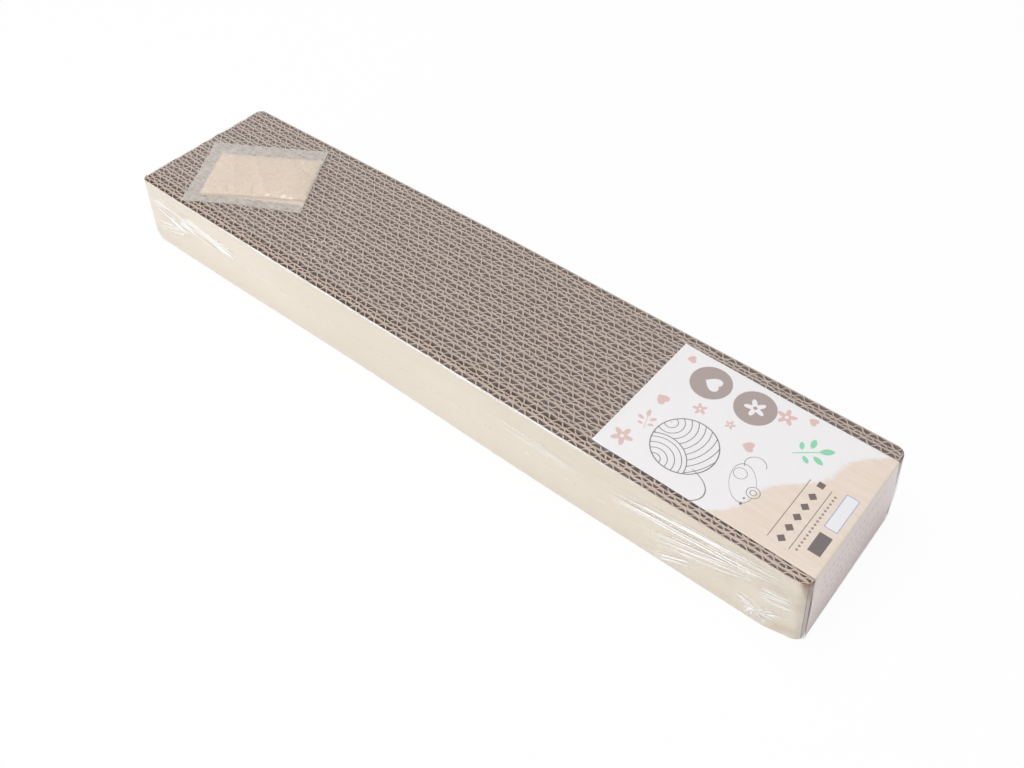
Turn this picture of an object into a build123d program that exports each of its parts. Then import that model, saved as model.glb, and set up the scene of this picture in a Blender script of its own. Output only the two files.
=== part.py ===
from build123d import *
import os
from math import cos, floor, radians, sin

# Cat scratcher pad: corrugated boards on edge, glued face to face, with a folded label
# card, a sachet of catnip powder and a clear shrink film sealed round it all.
# The origin is the middle of the face it rests on. +X runs to the labelled end, +Y to the
# back, +Z up. All sizes are in millimetres.

# Boards
strip_length = 463.0
strip_height = 44.7
double_wall_count = 16
liner_thickness = 0.25
medium_thickness = 0.2
large_flute_gap = 3.08
large_flute_pitch = 7.9
small_flute_gap = 2.07
crest_clearance = 0.03
end_stagger = 0.8
corner_radius = 5.0

# Cover papers on the two long sides
cover_thickness = 0.15
cover_setback = 0.5

# Label card
card_thickness = 0.45
card_length = 121.7
card_width = 82.6
card_front_gap = 5.1
card_skew = 2.3
card_foot_gap = 1.0
fold_inner_radius = 0.25

# Sachet and its powder
sachet_length = 75.8
sachet_width = 61.0
sachet_end_gap = 54.4
sachet_centre_y = -2.1
sachet_angle = 30.8
end_margin = 7.7
back_margin = 9.5
front_margin = 8.8
pouch_thickness = 0.25
side_draw = 0.7
sachet_depth = 3.6
fill_corner = 4.0
powder_clearance = 0.1

# Shrink film
film_thickness = 0.2
film_clearance = 0.1
tent_spread = 13.0
tent_corner = 9.0

# Gap under what lies loose on the boards or against their ends
lay_clearance = 0.1

# Where each board starts along the pad, and how far its first fold is from its end
stagger_shares = (
    0.55, 0.1, 0.8, 0.35, 1.0, 0.5, 0.0, 0.65, 0.25, 0.9, 0.45, 0.75, 0.15, 0.6, 0.3, 0.85, 0.4
)
phase_step_share = 0.382

# How far in the top of the filled sachet lies from its seams, and the tent's top likewise
crown_inset_share = 0.36
crown_rings = 6
tent_top_inset_share = 0.1

# Sizes worked out from the ones above
double_wall = 3 * liner_thickness + large_flute_gap + small_flute_gap
single_wall = 2 * liner_thickness + large_flute_gap
boards_width = double_wall_count * double_wall + single_wall
pad_length = strip_length + end_stagger
wrapped_length = pad_length + lay_clearance + card_thickness
wrapped_width = boards_width + 2 * cover_thickness
film_length = wrapped_length + 2 * (film_clearance + film_thickness)
film_width = wrapped_width + 2 * (film_clearance + film_thickness)
pad_left = -film_length / 2 + film_thickness + film_clearance
pad_right = pad_left + pad_length
pad_middle = (pad_left + pad_right) / 2
boards_back = boards_width / 2
pad_base = film_thickness + film_clearance
pad_top = pad_base + strip_height
lay_level = pad_top + lay_clearance
cavity_top = lay_level + card_thickness + film_clearance
film_top = cavity_top + film_thickness
cavity_radius = corner_radius + cover_thickness + film_clearance


def fold_line(length, pitch, height, phase_share):
    """Corners of a folded medium, from one end of the board to the other."""
    half = pitch / 2
    start = phase_share * pitch

    def rise(x):
        turn = (x + start) / half
        part = turn - 2 * floor(turn / 2)
        return height * min(part, 2 - part)

    first = floor(start / half) + 1
    last = floor((length + start) / half)
    folds = [fold * half - start for fold in range(first, last + 1)]
    inside = [x for x in folds if medium_thickness < x < length - medium_thickness]
    return [(x, rise(x)) for x in [0, *inside, length]]


def flat_layer(back_y, start_x, depth):
    """Upright flat layer of a board, its back face at back_y."""
    middle = (start_x + strip_length / 2, back_y - depth / 2)
    with BuildPart() as layer:
        with BuildSketch(Plane.XY.offset(pad_base)):
            with Locations(middle):
                Rectangle(strip_length, depth)
        extrude(amount=strip_height)
        trim_to_pad()
    return layer.part


def folded_medium(back_y, start_x, phase_share):
    """Large-flute medium: a thin sheet folded to and fro between two liners."""
    depth = large_flute_gap - 2 * crest_clearance - medium_thickness
    near = fold_line(strip_length, large_flute_pitch, depth, phase_share)
    low = back_y - large_flute_gap + crest_clearance
    front_side = [(start_x + x, low + y) for x, y in near]
    back_side = [(start_x + x, low + y + medium_thickness) for x, y in near]
    with BuildPart() as medium:
        with BuildSketch(Plane.XY.offset(pad_base)):
            with BuildLine():
                Polyline(*front_side, *reversed(back_side), close=True)
            make_face()
        extrude(amount=strip_height)
        trim_to_pad()
    return medium.part


def trim_to_pad():
    """Cut what is being built to the pad's rounded plan outline."""
    with BuildSketch(Plane.XY.offset(pad_base)) as outline:
        with Locations((pad_middle, 0)):
            RectangleRounded(pad_length, boards_width, corner_radius)
    extrude(outline.sketch, amount=strip_height, mode=Mode.INTERSECT)


os.makedirs("parts", exist_ok=True)

# Double-wall boards, from the back of the pad to the front. Each has its outer liner, its
# folded large-flute medium, and its small-flute layer closed between the other two liners.
small_layer = 2 * liner_thickness + small_flute_gap
for index in range(double_wall_count):
    back_y = boards_back - index * double_wall
    start_x = pad_left + stagger_shares[index % len(stagger_shares)] * end_stagger
    phase = index * phase_step_share
    liner = flat_layer(back_y, start_x, liner_thickness)
    medium = folded_medium(back_y - liner_thickness, start_x, phase - floor(phase))
    small_flutes = flat_layer(back_y - liner_thickness - large_flute_gap, start_x, small_layer)
    name = f"strip_{index + 1:02d}"
    strip = Compound(label=name, children=[liner, medium, small_flutes])
    export_step(strip, f"parts/{name}.step")

# Single-wall board that closes the front of the pad.
front_y = boards_back - double_wall_count * double_wall
front_x = pad_left + stagger_shares[-1] * end_stagger
front_phase = double_wall_count * phase_step_share
back_liner = flat_layer(front_y, front_x, liner_thickness)
front_medium = folded_medium(front_y - liner_thickness, front_x, front_phase - floor(front_phase))
front_liner = flat_layer(front_y - liner_thickness - large_flute_gap, front_x, liner_thickness)
front_strip = Compound(label="front_strip", children=[back_liner, front_medium, front_liner])
export_step(front_strip, "parts/front_strip.step")

# Cover papers: thin sheets over the long sides, bent round the pad's corners and stopping
# short of the bare board ends.
for side, name in ((-1, "front_cover_paper"), (1, "back_cover_paper")):
    with BuildPart() as cover:
        with BuildSketch(Plane.XY.offset(pad_base)):
            with Locations((pad_middle, 0)):
                RectangleRounded(
                    pad_length + 2 * cover_thickness, wrapped_width, corner_radius + cover_thickness
                )
                RectangleRounded(pad_length, boards_width, corner_radius, mode=Mode.SUBTRACT)
            with Locations((pad_middle, side * wrapped_width / 4)):
                Rectangle(pad_length - 2 * cover_setback, wrapped_width / 2, mode=Mode.INTERSECT)
        extrude(amount=strip_height)
    cover.part.label = name
    export_step(cover.part, f"parts/{name}.step")

# Label card: a panel on top of the boards, folded down over their ends. Its top panel runs
# a little askew, so its free end lies nearer the back than its fold.
card_front = -boards_width / 2 + card_front_gap
card_back = card_front + card_width
fold_outer_radius = fold_inner_radius + card_thickness
fold_x = pad_right + lay_clearance - fold_inner_radius
fold_level = lay_level - fold_inner_radius
card_drop = fold_level - pad_base - card_foot_gap
with BuildPart() as label_card:
    with BuildSketch(Plane.XY.offset(lay_level)):
        with BuildLine():
            Polyline(
                (fold_x, card_front),
                (fold_x, card_back),
                (fold_x - card_length, card_back + card_skew),
                (fold_x - card_length, card_front + card_skew),
                close=True,
            )
        make_face()
    extrude(amount=card_thickness)
    with BuildSketch(Plane.XZ.offset(-card_front)):
        with BuildLine():
            CenterArc((fold_x, fold_level), fold_outer_radius, 0, 90)
            CenterArc((fold_x, fold_level), fold_inner_radius, 0, 90)
            Line((fold_x, fold_level + fold_inner_radius), (fold_x, fold_level + fold_outer_radius))
            Line((fold_x + fold_inner_radius, fold_level), (fold_x + fold_outer_radius, fold_level))
        make_face()
    extrude(amount=-card_width)
    with BuildSketch(Plane.XZ.offset(-card_front)):
        with Locations((fold_x + fold_inner_radius, fold_level)):
            Rectangle(card_thickness, card_drop, align=(Align.MIN, Align.MAX))
    extrude(amount=-card_width)
label_card.part.label = "label_card"
export_step(label_card.part, "parts/label_card.step")

# Sachet: a flat back sheet and a crowned front sheet sealed together along three margins,
# with its folded edge on the fourth side, lying askew on the boards.
fill_length = sachet_length - end_margin
fill_width = sachet_width - back_margin - front_margin
fill_centre = (end_margin / 2, (front_margin - back_margin) / 2)


def sachet_plane(level):
    """Plane of the sachet's own axes, at a height above the floor."""
    along = Vector(1, 0, 0).rotate(Axis.Z, sachet_angle)
    return Plane(origin=(pad_left + sachet_end_gap, sachet_centre_y, level), x_dir=along, z_dir=(0, 0, 1))


def crown(drop, mode=Mode.ADD):
    """Filled middle of the sachet: rings on a quarter of an ellipse, shrunk by a drop."""
    rings = []
    for step in range(crown_rings):
        turn = radians(90 * step / (crown_rings - 1))
        inset = drop + crown_inset_share * fill_width * (1 - cos(turn))
        with BuildSketch(sachet_plane(lay_level - drop + sachet_depth * sin(turn))) as ring:
            with Locations(fill_centre):
                RectangleRounded(fill_length - 2 * inset, fill_width - 2 * inset, fill_corner)
        rings.append(ring.sketch)
    loft(rings, ruled=True, mode=mode)


with BuildSketch(sachet_plane(lay_level)) as sheet_outline:
    right, left = sachet_length / 2, -sachet_length / 2
    back, front = sachet_width / 2, -sachet_width / 2
    with BuildLine():
        ThreePointArc((left, front), (0, front + side_draw), (right, front))
        Line((right, front), (right, back))
        ThreePointArc((right, back), (0, back - side_draw), (left, back))
        ThreePointArc((left, back), (left + side_draw, 0), (left, front))
    make_face()

with BuildPart() as sachet_pouch:
    extrude(sheet_outline.sketch, amount=2 * pouch_thickness)
    crown(0)
    crown(pouch_thickness, Mode.SUBTRACT)
    extrude(sheet_outline.sketch, amount=pouch_thickness)
sachet_pouch.part.label = "sachet_pouch"
export_step(sachet_pouch.part, "parts/sachet_pouch.step")

powder_inset = pouch_thickness + powder_clearance
with BuildPart() as catnip_powder:
    crown(powder_inset)
    split(bisect_by=sachet_plane(lay_level + powder_inset), keep=Keep.TOP)
catnip_powder.part.label = "catnip_powder"
export_step(catnip_powder.part, "parts/catnip_powder.step")


# Shrink film: one closed skin round everything, raised like a tent over the sachet.
def wrapping(inset):
    """Solid out to one face of the film: a rounded block with the tent on its top."""
    length, width = film_length - 2 * inset, film_width - 2 * inset
    block_top = film_top - inset
    tent_rise = lay_level + sachet_depth + film_clearance - cavity_top
    rings = []
    for grow, height in ((tent_spread, 0), (-tent_top_inset_share * fill_width, tent_rise)):
        with BuildSketch(sachet_plane(block_top + height)) as ring:
            with Locations(fill_centre):
                RectangleRounded(fill_length + 2 * grow, fill_width + 2 * grow, tent_corner)
        rings.append(ring.sketch)
    with BuildSketch(Plane.XY.offset(inset)) as outline:
        RectangleRounded(length, width, cavity_radius + film_thickness - inset)
    with BuildPart() as form:
        loft(rings, ruled=True)
        extrude(outline.sketch, amount=block_top + tent_rise, mode=Mode.INTERSECT)
        extrude(outline.sketch, amount=block_top - inset)
    return form.part


with BuildPart() as shrink_film:
    add(wrapping(0))
    add(wrapping(film_thickness), mode=Mode.SUBTRACT)
shrink_film.part.label = "shrink_film"
export_step(shrink_film.part, "parts/shrink_film.step")
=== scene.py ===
import bpy
import math
import numpy as np
from mathutils import Matrix, Vector


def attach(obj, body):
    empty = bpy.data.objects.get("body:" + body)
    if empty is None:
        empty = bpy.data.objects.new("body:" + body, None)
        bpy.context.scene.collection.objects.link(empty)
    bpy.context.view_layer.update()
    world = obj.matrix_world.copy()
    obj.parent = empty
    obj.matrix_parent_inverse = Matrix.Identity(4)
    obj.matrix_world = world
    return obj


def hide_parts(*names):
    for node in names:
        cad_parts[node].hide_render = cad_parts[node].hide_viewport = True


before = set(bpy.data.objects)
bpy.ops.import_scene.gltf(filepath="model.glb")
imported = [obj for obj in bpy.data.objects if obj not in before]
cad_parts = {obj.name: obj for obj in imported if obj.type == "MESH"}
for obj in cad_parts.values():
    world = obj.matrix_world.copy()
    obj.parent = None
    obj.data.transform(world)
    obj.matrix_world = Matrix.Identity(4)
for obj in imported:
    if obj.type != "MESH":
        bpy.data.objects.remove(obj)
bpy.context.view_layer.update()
print("frame loaded:", len(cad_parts), "nodes")

mm = 0.001  # every size below is in millimetres, and a mesh gets it in metres

padSettings = {
    "left": -232.175, "right": 231.625,   # ends of the boards
    "base": 0.3, "top": 45.0,             # lower and upper cut edges
    "half": 48.99,                        # middle plane to the outer faces of the boards
    "bow": 0.9,                           # how far the long sides stand out at mid-length
    "footRadius": (7.0, 0.6),             # lower end corners, squashed round: left, right
    "footReach": (26.0, 10.0),
    "crush": 0.3, "droop": 0.9,           # upper front edge: how far it is pushed back and down
    "tuck": (1.2, 2.4),                   # how far the front's foot is drawn in: left of middle, right corner
    "drawn": 1.1,                         # how far the back side is drawn in, right of mid-length
    "splay": 1.3, "splayTurn": 0.3,       # how far the right end's foot stands out, and the share more in front
}


# shapes shared by all pieces
def waves(x, y, size, seed, count=7):
    # smooth uneven field, about -1 to 1: 1.5 times the mean of sines of random heading, phase and length,
    # which is size mm on average
    dice = np.random.default_rng(seed)
    turn, phase = dice.uniform(0, 2 * np.pi, count), dice.uniform(0, 2 * np.pi, count)
    length = size * dice.uniform(0.7, 1.5, count)
    field = sum(
        np.sin(2 * np.pi * (x * np.cos(a) + y * np.sin(a)) / d + p) for a, p, d in zip(turn, phase, length)
    )
    return field * 1.5 / count


def smooth(t):
    # 0 below 0, 1 above 1, and 3t^2 - 2t^3 between
    t = np.clip(t, 0, 1)
    return t * t * (3 - 2 * t)


def padShape(points):
    # the pad's own form, for points of any piece: y times 1 + bow / half (1 - (x/h)^2), ends drawn in along
    # a quarter circle at the foot, the front's foot and the back drawn in by a bell and smooth steps along x,
    # the upper front edge pushed back and down by wavy amounts, the right end splayed out evenly to its foot,
    # and all boards but the outer faces drifting sideways a little
    s = padSettings
    x, y, z = np.moveaxis(np.asarray(points, float), -1, 0)
    mid, h = (s["left"] + s["right"]) / 2, (s["right"] - s["left"]) / 2
    fromLeft, fromRight = x - s["left"], s["right"] - x
    high = smooth((z - (s["top"] - 16)) / 15)
    foremost = smooth((-y - (s["half"] - 3.6)) / 3.6)
    front, back = (smooth((side * y - (s["half"] - 15)) / 15) for side in (-1, 1))
    drift = 0.35 * waves(x, y * 0.6, 90, 3) * (1 - np.clip(abs(y) / (s["half"] + 3), 0, 1) ** 4)
    dent = s["crush"] * (0.35 + 0.65 * smooth((x - 40) / 150)) * (0.5 + 0.5 * waves(x, 0 * x, 34, 5))
    dent = dent * foremost * high * smooth(fromLeft / 30) * smooth(fromRight / 9)
    tuck = s["tuck"][0] * np.exp(-(((x + 50) / 90) ** 2)) + s["tuck"][1] * smooth((x - 212) / 18)
    tuck = tuck * front * np.clip((s["top"] - 1.8 - z) / (s["top"] - 2.1), 0, 1)
    drawn = s["drawn"] * smooth((x + 20) / 110) * back
    fall = s["droop"] * (0.7 + 0.3 * smooth((x + 40) / 140)) * (0.7 + 0.3 * waves(x, 0 * x, 30, 6))
    fall = fall * foremost * high * smooth(fromLeft / 40) * smooth(fromRight / 12)
    r, reach = (np.where(x < mid, *s[key]) for key in ("footRadius", "footReach"))
    rise = np.clip((z - s["base"]) / r, 0, 1)
    pull = r * (1 - np.sqrt(1 - (1 - rise) ** 2)) * smooth((abs(x - mid) - (h - reach)) / reach)
    splay = s["splay"] * smooth((x - mid - h + 30) / 30) * np.clip(1 - z / s["top"], 0, 1)
    splay = splay * (1 - s["splayTurn"] * y / s["half"])
    bow = 1 + s["bow"] / s["half"] * (1 - np.clip((x - mid) / h, -1, 1) ** 2)
    return np.stack([x - np.sign(x - mid) * pull + splay, y * bow + drift + dent + tuck - drawn, z - fall], -1)


def gridFaces(rows, columns, start=0, closed=False):
    # quads of a rows x columns grid of points; closed joins the last column to the first
    wide = columns if closed else columns - 1
    i, j = np.meshgrid(np.arange(rows - 1), np.arange(wide), indexing="ij")
    k = (j + 1) % columns
    quads = np.stack([i * columns + j, i * columns + k, (i + 1) * columns + k, (i + 1) * columns + j], -1)
    return quads.reshape(-1, 4) + start


def outward(points, faces):
    # quads of a closed skin, turned so that they enclose a positive volume
    a, b, c, d = (points[faces[:, k]] for k in range(4))
    volume = (np.cross(a, b) * c).sum() + (np.cross(a, c) * d).sum()
    return faces if volume > 0 else faces[:, ::-1]


def closedSheet(front, back):
    # solid between two grids of the same size: both faces, and four rims between their borders
    rows, columns = front.shape[:2]
    size = rows * columns
    index = np.arange(size).reshape(rows, columns)
    loop = np.concatenate([index[0, :-1], index[:-1, -1], index[-1, :0:-1], index[:0:-1, 0]])
    after = np.roll(loop, -1)
    rims = np.stack([loop, loop + size, after + size, after], -1)
    points = np.concatenate([front.reshape(-1, 3), back.reshape(-1, 3)])
    faces = np.concatenate([gridFaces(rows, columns), gridFaces(rows, columns, size)[:, ::-1], rims])
    return points, outward(points, faces)


def roundedLine(reach, steps, radius, arc):
    # plan line along x from -reach to reach that goes on round a corner at each end, through the angles of
    # the arc: its x, and how far the corners draw it in
    straight = np.linspace(-reach, reach, steps)
    turn = np.concatenate([-arc[::-1], 0 * straight, arc])
    x = np.concatenate([np.full(len(arc), -reach), straight, np.full(len(arc), reach)])
    return x + radius * np.sin(turn), radius - radius * np.cos(turn)


def joinSheets(sheets):
    # several closed sheets as one set of points and faces
    starts = np.cumsum([0] + [len(p) for p, _ in sheets[:-1]])
    return np.concatenate([p for p, _ in sheets]), np.concatenate([f + s for (_, f), s in zip(sheets, starts)])


def addObject(name, data):
    made = bpy.data.objects.new(name, data)
    bpy.context.scene.collection.objects.link(made)
    return made


def newPiece(name, points, faces, material, creaseDegrees=40):
    # mesh from points in mm and quads, riding on the frame
    mesh = bpy.data.meshes.new(name)
    mesh.vertices.add(len(points))
    mesh.vertices.foreach_set("co", (np.asarray(points, float) * mm).ravel())
    mesh.loops.add(faces.size)
    mesh.loops.foreach_set("vertex_index", faces.ravel().astype(np.int32))
    mesh.polygons.add(len(faces))
    mesh.polygons.foreach_set("loop_start", np.arange(0, faces.size, 4, dtype=np.int32))
    mesh.polygons.foreach_set("use_smooth", np.ones(len(faces), bool))
    mesh.update(calc_edges=True)
    mesh.validate()
    mesh.set_sharp_from_angle(angle=math.radians(creaseDegrees))
    mesh.materials.append(material)
    piece = addObject(name, mesh)
    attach(piece, "root")
    return piece


def addAttribute(piece, name, values, kind="FLOAT"):
    # a value for each point, which the piece's material reads
    made = piece.data.attributes.new(name, kind, "POINT")
    made.data.foreach_set("value" if kind == "FLOAT" else "vector", np.asarray(values, float).ravel())


# material helpers
def paint(red, green, blue):
    # colour as it shows on a screen, 0 to 255, to the light values that a shader takes
    c = np.array([red, green, blue]) / 255
    c = np.where(c <= 0.04045, c / 12.92, ((c + 0.055) / 1.055) ** 2.4)
    return (*c.tolist(), 1.0)


class Field:
    # output of a shader node, which sums, products and comparisons can be written with
    def __init__(self, socket):
        self.socket, self.tree = socket, socket.id_data

    def calc(self, operation, *rest):
        return addNode(self.tree, "Math", dict(enumerate((self, *rest))), operation=operation)

    def clamped(self):
        # held between 0 and 1 by the node that gives it
        self.socket.node.use_clamp = True
        return self

    def __add__(self, other):
        return self.calc("ADD", other)

    def __sub__(self, other):
        return self.calc("SUBTRACT", other)

    def __mul__(self, other):
        return self.calc("MULTIPLY", other)

    def __gt__(self, other):
        return self.calc("GREATER_THAN", other)

    def __lt__(self, other):
        return self.calc("LESS_THAN", other)


def addNode(tree, kind, inputs=(), out=0, **settings):
    # node of this kind, with a value or a link for each input named; gives one of its outputs
    made = tree.nodes.new("ShaderNode" + kind)
    for key, value in settings.items():
        setattr(made, key, value)
    for key, value in dict(inputs).items():
        if isinstance(value, Field):
            tree.links.new(value.socket, made.inputs[key])
        else:
            made.inputs[key].default_value = value
    return Field(made.outputs[out])


def split(place):
    # its x, y and z
    node = addNode(place.tree, "SeparateXYZ", {0: place}).socket.node
    return [Field(output) for output in node.outputs]


def distance(place, at=(0, 0, 0)):
    return addNode(place.tree, "VectorMath", {0: place, 1: at}, "Value", operation="DISTANCE")


def attribute(tree, name, out="Fac"):
    return addNode(tree, "Attribute", out=out, attribute_name=name)


def mixColour(factor, first, second, how="MIX"):
    inputs = {0: factor, 6: first, 7: second}
    tree = next(value.tree for value in inputs.values() if isinstance(value, Field))
    return addNode(tree, "Mix", inputs, 2, data_type="RGBA", blend_type=how)


def noise(place, scale, detail=3.0, stretch=None, roughness=0.5):
    # noise of 0 to 1; scale is in waves per unit of the place, and stretch squeezes each axis
    if stretch:
        place = addNode(place.tree, "Mapping", {0: place, 3: stretch})
    inputs = {"Vector": place, "Scale": scale, "Detail": detail, "Roughness": roughness}
    return addNode(place.tree, "TexNoise", inputs)


def newMaterial(name):
    # the material, its tree, its output node and the place in Object coordinates
    material = bpy.data.materials.new(name)
    material.use_nodes = True
    tree = material.node_tree
    tree.nodes.clear()
    end = tree.nodes.new("ShaderNodeOutputMaterial")
    return material, tree, end, addNode(tree, "TexCoord", out="Object")


def show(end, shader):
    # joins a shader to the output node of its material or world
    end.id_data.links.new(shader.socket, end.inputs[0])


def bump(height, distance):
    return addNode(height.tree, "Bump", {"Height": height, "Distance": distance})


def addSurface(end, colour, roughness, specular, normal, more=()):
    # the shader of every piece but the film
    inputs = {"Base Color": colour, "Roughness": roughness, "Specular IOR Level": specular, "Normal": normal}
    show(end, addNode(end.id_data, "BsdfPrincipled", {**inputs, **dict(more)}))


# camera
cameraSettings = {
    "azimuth": 39.91, "elevation": 39.87, "roll": 0.69,  # degrees
    "distance": 756.0, "target": (-52.3, 95.4, 0.0),
    "focalPixels": 1173.0, "shiftPixels": (0.0, -150.0), "imageWidth": 1024, "sensor": 36.0,
}


def addCamera(s):
    a, e = math.radians(s["azimuth"]), math.radians(s["elevation"])
    back = np.array([math.sin(a) * math.cos(e), -math.cos(a) * math.cos(e), math.sin(e)])
    data = bpy.data.cameras.new("camera")
    data.sensor_width = s["sensor"]
    data.lens = s["focalPixels"] / s["imageWidth"] * s["sensor"]
    data.shift_x, data.shift_y = -s["shiftPixels"][0] / s["imageWidth"], s["shiftPixels"][1] / s["imageWidth"]
    data.clip_start, data.clip_end = 0.05, 20.0
    camera = addObject("camera", data)
    camera.rotation_mode = "QUATERNION"
    camera.location = (np.array(s["target"]) + back * s["distance"]) * mm
    look = Vector(-back).to_track_quat("-Z", "Y").to_matrix()
    camera.rotation_quaternion = (look @ Matrix.Rotation(math.radians(-s["roll"]), 3, "Z")).to_quaternion()
    bpy.context.scene.camera = camera


addCamera(cameraSettings)
print("camera placed")


# corrugated boards
boardSettings = {
    "length": 463.0,
    "pitchLarge": 7.9, "pitchSmall": 6.45, "stepsPerFlute": 12,
    "liner": 0.3, "medium": 0.26,
    "gapLarge": 3.03, "gapSmall": 1.97,
    "burr": 0.21,                    # how far a cut edge spreads to each side at its top
    "sway": 0.42,                    # how far the cut edges wander sideways
    "glue": 0.03,                    # between a crest and its liner
    "unevenPitch": (0.12, 0.12),     # in short and in long waves, as a share of a flute
    "unevenDepth": 0.16,             # share by which some flutes are shallower
    "unevenTop": 0.26,
    # how far in each board starts, as a share of the reach
    "stagger": (0.55, 0.1, 0.8, 0.35, 1.0, 0.5, 0.0, 0.65, 0.25, 0.9, 0.45, 0.75, 0.15, 0.6, 0.3, 0.85, 0.4),
    "staggerReach": 0.8,
    "squash": 1.1,                   # how much thinner the foremost board is, at its right end
    "phaseStep": 0.382,              # how far each board's flutes are shifted from the last one's
    "paleCutAndLight": (1.3, 1.4),          # pale cut edge, partly pale cut fibres and partly painted light on the upper walls: height of its fade, and how far below the top that begins
    "cornerRadius": 5.0,
    "linerColour": paint(196, 174, 160), "mediumColour": paint(190, 168, 154),
    # colour of the pale cut edge, which also paints light on the upper walls below it
    "cutAndLightColour": paint(204, 184, 170),
}


def cutEnd(y, radius):
    # how far the rounded plan corner draws an end in at this y: r - sqrt(r^2 - d^2), d into the corner
    d = np.clip(np.abs(y) - (padSettings["half"] - radius), 0, radius)
    return radius - np.sqrt(radius * radius - d * d)


def boardGrid(x, y, startX, seed, normal, offset, burr):
    # upright grid over a line in plan, offset along its normal: y(x) carried up through the heights, with
    # the top edge slightly uneven and spread outwards by the burr
    b, s = boardSettings, padSettings
    heights = np.array([s["base"], 2.2, 6.8, s["top"] - 1.8, s["top"] - 0.6, s["top"]])
    spread = offset + burr * np.array([0, 0, 0, 0, 0.45, 1]) * (1 + 0.6 * waves(x, y, 3.1, seed + 2))[:, None]
    sway = b["sway"] * waves(x, y * 0.4, 5.5, 77) * (1 - smooth((abs(y) - s["half"] + 3) / 3))
    x, y = x[:, None] + normal[0][:, None] * spread, y[:, None] + normal[1][:, None] * spread
    y = y + sway[:, None] * np.array([0, 0, 0, 0.1, 0.6, 1])
    deep = y + s["half"]  # the foremost flutes are squashed, and the boards behind them spread towards the front
    near = np.clip((deep - 0.3) / 3.0, 0, 1) * np.exp(-np.clip(deep - 3.6, 0, None) / 7)
    y = y - b["squash"] * near * (0.15 + 0.85 * smooth((x - 60) / 100)) * (1 + 0.25 * waves(x, 0 * x, 22, 61))
    inset = cutEnd(y, b["cornerRadius"])
    x = np.clip(x, np.maximum(s["left"] + inset, startX), np.minimum(s["right"] - inset, startX + b["length"]))
    z = np.repeat(heights[None, :], len(x), 0)
    z[:, -1] += b["unevenTop"] * waves(x[:, 0], y[:, 0], 2.7, seed) - 0.12
    return padShape(np.stack([x, y, z], -1))


def linerSheet(backY, thickness, startX, seed, burrs):
    # flat layer: two upright planes, back and front
    end = boardSettings["length"]
    x = startX + np.concatenate([[0, 1.2, 3.0], np.linspace(6, end - 6, 180), [end - 3.0, end - 1.2, end]])
    normal = (0 * x, 0 * x + 1)
    back = boardGrid(x, 0 * x + backY, startX, seed, normal, 0, burrs[0])
    front = boardGrid(x, 0 * x + backY - thickness, startX, seed, normal, 0, -burrs[1])
    return closedSheet(back, front)


def fluteSheet(backY, gap, pitch, startX, phase, seed):
    # fluted layer: y = m + a (sin t + 0.13 sin 3t) / 0.87, t = 2 pi (x / pitch + phase + uneven)
    b = boardSettings
    end = b["length"]
    steps = np.linspace(0.7, end - 0.7, int(end / pitch * b["stepsPerFlute"]))
    x = startX + np.concatenate([[0.0, 0.3], steps, [end - 0.3, end]])
    short, long = b["unevenPitch"]
    uneven = short * waves(x, 0 * x, 24, seed) + long * waves(x, 0 * x, 120, seed + 1)
    t = 2 * np.pi * (x / pitch + phase + uneven)
    ends = np.minimum(x - startX, startX + end - x)  # the last flute is crushed flat over the cut end
    squash = 1 - b["unevenDepth"] * (0.5 + 0.5 * waves(x, 0 * x, 16, seed + 2))
    wave = np.where(ends < 0.1, -1, np.where(ends < 0.5, 1, squash * (np.sin(t) + 0.13 * np.sin(3 * t)) / 0.87))
    y = backY - gap / 2 + (gap / 2 - b["glue"] - b["medium"] / 2) * wave
    slope = np.gradient(y, x)
    normal = (-slope / np.hypot(slope, 1), 1 / np.hypot(slope, 1))
    half, burr = b["medium"] / 2, b["burr"]
    return closedSheet(
        boardGrid(x, y, startX, seed, normal, half, burr), boardGrid(x, y, startX, seed, normal, -half, -burr)
    )


def boardMaterial():
    # kraft paper: liner and medium tones, fibres, and a pale band along the cut edge that is partly pale cut
    # fibres and partly painted light on the upper walls
    b = boardSettings
    material, tree, end, place = newMaterial("kraftBoard")
    base = mixColour(attribute(tree, "paperTone"), b["linerColour"], b["mediumColour"])
    fibre = noise(place, 900, 4, (1, 1, 0.25))
    lift = (fibre * 0.35 + 0.82) * (noise(place, 45, 3) * 0.3 + 0.85)
    base = mixColour(1.0, base, addNode(tree, "CombineColor", {0: lift, 1: lift, 2: lift}), "MULTIPLY")
    # painted light: the top 1.4 mm fades paler, partly the cut fibres and partly light falling on the upper walls
    band, start = b["paleCutAndLight"]
    cutAndLight = (split(place)[2] * (1 / (band * mm)) - (padSettings["top"] - start) / band).clamped()
    base = mixColour(cutAndLight * 0.8, base, b["cutAndLightColour"])
    addSurface(end, base, 0.88, 0.25, bump(fibre, 0.00008))
    return material


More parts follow.
